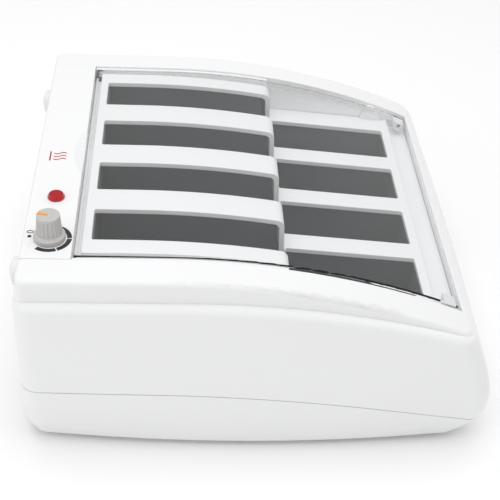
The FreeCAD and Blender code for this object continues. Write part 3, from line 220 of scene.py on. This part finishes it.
finishes = {
    "white_shell": surface(
        "moulded_white", (0.865, 0.868, 0.875), (0.853, 0.856, 0.864), rough=(0.27, 0.37),
        cloud=6.0, grain=1500.0, bump=0.05, depth=0.00003, subsurface=0.04,
        edge=0.0006, edge_colour=(0.90, 0.90, 0.91), edge_wear=0.15),
    "clear_acrylic": clear_sheet(
        "clear_lid_sheet", (0.996, 0.998, 0.998), (0.985, 0.990, 0.991), haze=0.01),
    "hinge_grey": surface(
        "light_grey_plastic", (0.76, 0.77, 0.78), (0.73, 0.74, 0.75), rough=(0.32, 0.45),
        cloud=60.0, grain=2200.0, bump=0.10, edge_colour=(0.86, 0.87, 0.88), edge_wear=0.5),
    "steel": surface(
        "plated_steel", (0.56, 0.57, 0.58), (0.50, 0.51, 0.52), rough=(0.22, 0.38),
        cloud=70.0, grain=900.0, bump=0.10, metal=1.0, brushed=(1.0, 1.0, 7.0),
        edge=0.00015, edge_colour=(0.75, 0.76, 0.77), edge_wear=0.6),
    "soft_black": surface(
        "black_rubber", (0.028, 0.028, 0.030), (0.042, 0.042, 0.044), rough=(0.62, 0.78),
        cloud=50.0, grain=1600.0, bump=0.20, depth=0.00008, specular=0.3,
        edge_colour=(0.09, 0.09, 0.09), edge_wear=0.5),
    "soft_white": surface(
        "white_rubber", (0.83, 0.832, 0.84), (0.80, 0.80, 0.81), rough=(0.45, 0.58),
        cloud=40.0, grain=1600.0, bump=0.12, specular=0.4,
        edge_colour=(0.9, 0.9, 0.9), edge_wear=0.3),
    "dark_coating": surface(
        "dark_non_stick", (0.138, 0.147, 0.159), (0.121, 0.130, 0.141), rough=(0.34, 0.46),
        cloud=9.0, grain=1300.0, bump=0.14, depth=0.00005, specular=0.45,
        edge_colour=(0.30, 0.31, 0.31), edge_wear=0.4,
        speckle=(900.0, 0.35, (0.17, 0.18, 0.185))),
    "mat_silicone": surface(
        "orange_silicone", (0.55, 0.12, 0.045), (0.48, 0.10, 0.04), rough=(0.5, 0.65),
        cloud=30.0, grain=700.0, bump=0.25, depth=0.00008, weave=260.0),
    "glass_wool": surface(
        "needled_felt", (0.80, 0.77, 0.70), (0.70, 0.67, 0.60), rough=(0.9, 1.0),
        cloud=45.0, grain=420.0, bump=0.9, depth=0.0006, specular=0.1, weave=140.0, sheen=0.3),
    "bright_sheet": surface(
        "mill_aluminium", (0.72, 0.73, 0.74), (0.66, 0.67, 0.68), rough=(0.26, 0.40),
        cloud=25.0, grain=500.0, bump=0.10, metal=1.0, brushed=(1.0, 14.0, 1.0),
        edge=0.0002, edge_colour=(0.9, 0.9, 0.9), edge_wear=0.5),
    "knob_grey": surface(
        "knob_plastic", (0.54, 0.53, 0.515), (0.51, 0.50, 0.485), rough=(0.40, 0.52),
        cloud=120.0, grain=2600.0, bump=0.12, depth=0.00003, subsurface=0.03,
        edge_colour=(0.66, 0.65, 0.635), edge_wear=0.5),
    "pointer_orange": surface(
        "pointer_orange", (0.93, 0.36, 0.03), (0.88, 0.32, 0.03), rough=(0.30, 0.42),
        cloud=200.0, grain=2600.0, bump=0.06,
        edge=0.00012, edge_colour=(1.0, 0.52, 0.12), edge_wear=0.4),
    "lens_red": surface(
        "lens_red", (0.52, 0.006, 0.012), (0.38, 0.004, 0.008), rough=(0.10, 0.20),
        cloud=900.0, grain=2600.0, bump=0.05, coat=0.3, subsurface=0.05,
        edge=0.00015, edge_colour=(0.62, 0.05, 0.06), edge_wear=0.4),
    "black_plastic": surface(
        "black_moulding", (0.022, 0.022, 0.024), (0.034, 0.034, 0.036), rough=(0.38, 0.52),
        cloud=60.0, grain=1900.0, bump=0.16, depth=0.00005,
        edge_colour=(0.10, 0.10, 0.10), edge_wear=0.5),
    "board_green": surface(
        "solder_mask", (0.022, 0.14, 0.055), (0.03, 0.18, 0.075), rough=(0.22, 0.34),
        cloud=120.0, grain=900.0, bump=0.10, speckle=(420.0, 0.7, (0.55, 0.55, 0.50)),
        edge=0.0002, edge_colour=(0.4, 0.35, 0.2), edge_wear=0.4),
    "capacitor_sleeve": surface(
        "capacitor_sleeve", (0.02, 0.03, 0.09), (0.03, 0.04, 0.11), rough=(0.25, 0.35),
        cloud=80.0, grain=1500.0, bump=0.06, edge_colour=(0.2, 0.2, 0.3), edge_wear=0.4),
    "film_box": surface(
        "film_capacitor", (0.62, 0.46, 0.05), (0.57, 0.42, 0.05), rough=(0.30, 0.42),
        cloud=80.0, grain=1500.0, bump=0.08, edge_colour=(0.8, 0.65, 0.2), edge_wear=0.4),
    "resistor_body": surface(
        "resistor_lacquer", (0.60, 0.50, 0.33), (0.52, 0.42, 0.27), rough=(0.30, 0.45),
        cloud=200.0, grain=1500.0, bump=0.1, edge_colour=(0.7, 0.6, 0.4), edge_wear=0.4),
    "fuse_glass": clear_sheet("fuse_glass", (0.93, 0.96, 0.94), (0.90, 0.94, 0.92), haze=0.04),
    "brass": surface(
        "brass", (0.74, 0.55, 0.20), (0.66, 0.48, 0.17), rough=(0.20, 0.34),
        cloud=90.0, grain=900.0, bump=0.08, metal=1.0, brushed=(1.0, 6.0, 1.0),
        edge=0.00012, edge_colour=(0.9, 0.75, 0.4), edge_wear=0.5),
    "bright_steel": surface(
        "tinned_steel", (0.66, 0.67, 0.68), (0.60, 0.61, 0.62), rough=(0.22, 0.36),
        cloud=90.0, grain=900.0, bump=0.08, metal=1.0, brushed=(6.0, 1.0, 1.0),
        edge=0.00012, edge_colour=(0.85, 0.85, 0.86), edge_wear=0.5),
    "cream_plastic": surface(
        "cream_plastic", (0.80, 0.76, 0.65), (0.75, 0.71, 0.60), rough=(0.42, 0.55),
        cloud=80.0, grain=1500.0, bump=0.10, edge_colour=(0.88, 0.85, 0.76), edge_wear=0.4),
    "wire_brown": surface(
        "brown_sleeve", (0.16, 0.06, 0.025), (0.13, 0.05, 0.02), rough=(0.35, 0.5),
        cloud=90.0, grain=1500.0, bump=0.08),
    "wire_red": surface(
        "red_sleeve", (0.50, 0.03, 0.025), (0.42, 0.025, 0.02), rough=(0.4, 0.55),
        cloud=90.0, grain=1500.0, bump=0.08),
    "wire_grey": surface(
        "grey_sleeve", (0.27, 0.27, 0.28), (0.24, 0.24, 0.25), rough=(0.35, 0.5),
        cloud=90.0, grain=1500.0, bump=0.08),
}

for row in frame["record"]["subparts"]:
    for place in nodes[row["node"]].material_slots:
        place.material = finishes[row["material_slot"]]

# ---------------------------------------------------------------- print on the control strip


def add_object(name, data):
    made = bpy.data.objects.new(name, data)
    bpy.context.scene.collection.objects.link(made)
    return made


def mesh_piece(name, points, faces, slot):
    """A piece of the object that rides on the body."""
    mesh = bpy.data.meshes.new(name)
    mesh.from_pydata(points, [], faces)
    mesh.validate()
    mesh.update()
    piece = add_object(name, mesh)
    mesh.materials.append(finishes[slot])
    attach(piece, "body")
    return piece


INK = 0.00012               # thickness of the print
PRINT_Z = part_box("indicator_lens")[0].z - 0.00004


def ink(name, strips, slot):
    """Printed marks: each strip is a band between two lines of (x, y), a hair thick."""
    points = []
    faces = []
    for inner, outer in strips:
        count = len(inner)
        low = len(points)
        high = low + 2 * count
        for lift in (0.0, INK):
            points += [(x, y, PRINT_Z + lift) for x, y in (*inner, *outer)]
        for i in range(count - 1):
            in_low, in_high = low + i, high + i
            out_low, out_high = in_low + count, in_high + count
            faces += [(in_high, in_high + 1, out_high + 1, out_high),
                      (in_low + 1, in_low, out_low, out_low + 1),
                      (in_low, in_low + 1, in_high + 1, in_high),
                      (out_low + 1, out_low, out_high, out_high + 1)]
        last = count - 1
        faces += [(low, high, high + count, low + count),
                  (high + last, low + last, low + count + last, high + count + last)]
    mesh_piece(name, points, faces, slot)


def arc(centre, radius, start, end, count):
    """Points clockwise from +Y, angles in degrees."""
    line = []
    for i in range(count + 1):
        angle = math.radians(start + (end - start) * i / count)
        line.append((centre[0] + radius * math.sin(angle), centre[1] + radius * math.cos(angle)))
    return line


# The heat scale: a ring in three arcs round the knob.
shaft_low, shaft_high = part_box("control_shaft")
knob_at = (shaft_low + shaft_high) / 2
RING_IN = 10.9 * MM
RING_OUT = 13.9 * MM
RING_START, RING_BREAK, RING_END = -60.0, 66.0, 127.0
GAP = 1.8                   # half the gap between two arcs, in degrees
RING_STEPS, DOT_STEPS, ZERO_STEP = 20, 28, 12
RING_ARCS = ((RING_START, -GAP), (GAP, RING_BREAK - GAP), (RING_BREAK + GAP, RING_END))
ink("dial_ring", [tuple(arc(knob_at, radius, start, end, RING_STEPS)
                        for radius in (RING_IN, RING_OUT))
                  for start, end in RING_ARCS], "black_plastic")

# The off position: a dot, with the figure 0 beside it.
OFF_ANGLE = math.radians(187.5)
OFF_RADIUS = 12.9 * MM
DOT_CORE, DOT_RADIUS = 0.00001, 1.3 * MM
ZERO_ASIDE = 4.6 * MM
ZERO_RADII = ((0.85 * MM, 1.6 * MM), (1.5 * MM, 2.2 * MM))
off_dot = (knob_at.x + OFF_RADIUS * math.sin(OFF_ANGLE),
           knob_at.y + OFF_RADIUS * math.cos(OFF_ANGLE))
ink("dial_zero_dot", [tuple(arc(off_dot, radius, 0, 360, DOT_STEPS)
                            for radius in (DOT_CORE, DOT_RADIUS))], "black_plastic")
ink("dial_zero_figure",
    [tuple([(off_dot[0] - ZERO_ASIDE + radius_x * math.sin(math.radians(a)),
             off_dot[1] + radius_y * math.cos(math.radians(a)))
            for a in range(0, 361, ZERO_STEP)]
           for radius_x, radius_y in ZERO_RADII)], "black_plastic")

# A plain heat mark: three waves over a bar.
HEAT_AT = (7.6 * MM, -139.0 * MM)
WAVE_PLACES = (-3.6, 0.0, 3.6)
WAVE_STEPS = 24
WAVE_FOOT, WAVE_RISE = -2.6, 8.6
HALF_LINE = 0.5 * MM
BAR_DROP, BAR_HALF, BAR_THICK = 5.4 * MM, 5.7 * MM, 1.0 * MM
marks = []
for aside in WAVE_PLACES:
    line_in, line_out = [], []
    for i in range(WAVE_STEPS + 1):
        t = i / WAVE_STEPS
        x = HEAT_AT[0] + (aside + math.sin(t * 2 * math.pi)) * MM
        y = HEAT_AT[1] + (t * WAVE_RISE + WAVE_FOOT) * MM
        line_in.append((x - HALF_LINE, y))
        line_out.append((x + HALF_LINE, y))
    marks.append((line_in, line_out))
bar = [(HEAT_AT[0] + end, HEAT_AT[1] - BAR_DROP) for end in (-BAR_HALF, BAR_HALF)]
marks.append((bar, [(x, y + BAR_THICK) for x, y in bar]))
ink("heat_mark", marks, "lens_red")

# ---------------------------------------------------------------- lamp lens and felt blanket

LENS_GRID = 56              # squares along each side of the field
LENS_RIM = 1.05 * MM
LENS_CROWN = 0.25 * MM
PYRAMID_PITCH = 0.95 * MM
PYRAMID_DEPTH = 0.75 * MM


def disc_point(u, v):
    """A point of the square -1..1 moved on to the round field, as a part of its radius."""
    if abs(u) >= abs(v):
        angle = (math.pi / 4) * (v / u) if u else 0.0
        return u * math.cos(angle), u * math.sin(angle)
    angle = (math.pi / 4) * (u / v)
    return v * math.sin(angle), v * math.cos(angle)


def lens_piece():
    """Lamp lens: a turned rim around a field of small moulded pyramids."""
    low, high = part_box("indicator_lens")
    centre = (low + high) / 2
    radius = (high.x - low.x) / 2
    field = radius - LENS_RIM
    side = LENS_GRID + 1
    points = []
    for row in range(side):
        for column in range(side):
            u = 2.0 * column / LENS_GRID - 1.0
            v = 2.0 * row / LENS_GRID - 1.0
            x, y = (part * field for part in disc_point(u, v))
            out = math.hypot(x, y) / field
            height = high.z - LENS_CROWN * out * out
            if max(abs(u), abs(v)) < 1.0:
                slopes = (abs((line / PYRAMID_PITCH) % 1.0 - 0.5) for line in (x + y, x - y))
                height -= PYRAMID_DEPTH * max(slopes)
            points.append((centre.x + x, centre.y + y, height))
    corners = [row * side + column for row in range(LENS_GRID) for column in range(LENS_GRID)]
    faces = [(a, a + 1, a + side + 1, a + side) for a in corners]
    ring = list(range(side))
    ring += [row * side + LENS_GRID for row in range(1, side)]
    ring += [LENS_GRID * side + column for column in range(LENS_GRID - 1, -1, -1)]
    ring += [row * side for row in range(LENS_GRID - 1, 0, -1)]
    profile = [(radius - 1.0 * MM, high.z - 0.26 * MM), (radius - 0.7 * MM, high.z - 0.55 * MM),
               (radius - 0.3 * MM, low.z + 1.4 * MM), (radius, low.z + 1.1 * MM),
               (radius, low.z + 0.2 * MM), (radius - 0.15 * MM, low.z)]
    previous = ring
    for reach, height in profile:
        current = []
        for index in ring:
            dx, dy = points[index][0] - centre.x, points[index][1] - centre.y
            length = math.hypot(dx, dy)
            current.append(len(points))
            points.append((centre.x + dx / length * reach, centre.y + dy / length * reach, height))
        for i in range(len(ring)):
            j = (i + 1) % len(ring)
            faces.append((previous[j], previous[i], current[i], current[j]))
        previous = current
    faces.append(tuple(previous))
    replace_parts(mesh_piece("lamp_lens", points, faces, "lens_red"), "indicator_lens")


FELT_VOXEL = 2.6 * MM
FELT_ROUNDING = 4           # passes that soften the blanket's edges
FELT_INSET, FELT_LUMPS = 0.9, 0.6
COARSE, FINE = 38.0, 110.0  # lumps to the metre


def felt_pad():
    """Needled felt blanket: the solid's form with soft edges and a lumpy surface."""
    piece = mesh_piece("felt_blanket", [], [], "glass_wool")
    piece.data = nodes["insulation_blanket"].data.copy()
    remesh = piece.modifiers.new("remesh", "REMESH")
    remesh.mode = "VOXEL"
    remesh.voxel_size = FELT_VOXEL
    piece.modifiers.new("smooth", "SMOOTH").iterations = FELT_ROUNDING
    built = piece.evaluated_get(bpy.context.evaluated_depsgraph_get())
    mesh = bpy.data.meshes.new_from_object(built)
    piece.modifiers.clear()
    piece.data = mesh
    mesh.materials.clear()
    mesh.materials.append(finishes["glass_wool"])
    normals = [vertex.normal.copy() for vertex in mesh.vertices]
    for vertex, normal in zip(mesh.vertices, normals):
        lumps = noise.noise(vertex.co * COARSE) + 0.5 * noise.noise(vertex.co * FINE)
        vertex.co -= normal * (FELT_INSET + FELT_LUMPS * lumps) * MM
    mesh.shade_smooth()
    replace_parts(piece, "insulation_blanket")


lens_piece()
felt_pad()

# ---------------------------------------------------------------- floor, light and camera

REACH = 6.0                 # half the floor's side
floor_mesh = bpy.data.meshes.new("floor")
floor_mesh.from_pydata([(-REACH, -REACH, 0), (REACH, -REACH, 0), (REACH, REACH, 0),
                        (-REACH, REACH, 0)], [], [(0, 1, 2, 3)])
floor_graph = Graph("pale_floor")
floor_tone = floor_graph.mix(floor_graph.noise(3.0), rgba((0.97, 0.97, 0.97)),
                             rgba((0.96, 0.96, 0.96)))
floor_mesh.materials.append(floor_graph.finish(floor_graph.add(
    "ShaderNodeBsdfPrincipled", Base_Color=floor_tone, Roughness=0.8)))
add_object("floor", floor_mesh)


def softbox(name, place, target, size, power):
    """A rectangular lamp that lights the object and isn't mirrored in it."""
    lamp = bpy.data.lights.new(name, "AREA")
    lamp.shape = "RECTANGLE"
    lamp.size, lamp.size_y = size
    lamp.energy = power
    box = add_object(name, lamp)
    box.location = place
    box.rotation_euler = (Vector(target) - Vector(place)).to_track_quat("-Z", "Y").to_euler()
    box.visible_glossy = False


softbox("top_softbox", place=(0.1, 0.0, 1.7), target=(0, 0, 0.05), size=(1.6, 1.6), power=14.5)
softbox("front_softbox", place=(0.9, -1.3, 0.9), target=(0, 0, 0.08), size=(1.2, 1.0), power=3.6)

WORLD_LIGHT = 0.66
world = bpy.data.worlds.new("studio")
world.use_nodes = True
background = world.node_tree.nodes["Background"]
background.inputs["Color"].default_value = (1.0, 1.0, 1.0, 1.0)
background.inputs["Strength"].default_value = WORLD_LIGHT
bpy.context.scene.world = world
bpy.context.scene.view_settings.view_transform = "Standard"

CAMERA_AT = Vector((0.64625, -0.05745, 0.5693))
YAW, PITCH, ROLL = (math.radians(a) for a in (5.07, 38.21, 3.94))
FOCAL_LENGTH, SENSOR_WIDTH = 78.5, 36.0
ahead = Vector((-math.cos(YAW) * math.cos(PITCH), math.sin(YAW) * math.cos(PITCH),
                -math.sin(PITCH)))
right = Vector((math.sin(YAW), math.cos(YAW), 0.0))
up = right.cross(ahead)
turned_right = right * math.cos(ROLL) + up * math.sin(ROLL)
turned_up = up * math.cos(ROLL) - right * math.sin(ROLL)
camera_data = bpy.data.cameras.new("camera")
camera_data.lens = FOCAL_LENGTH
camera_data.sensor_width = SENSOR_WIDTH
camera_data.clip_start = 0.01
camera = add_object("camera", camera_data)
columns = Matrix((turned_right, turned_up, -ahead)).transposed()
camera.matrix_world = Matrix.Translation(CAMERA_AT) @ columns.to_4x4()
bpy.context.scene.camera = camera
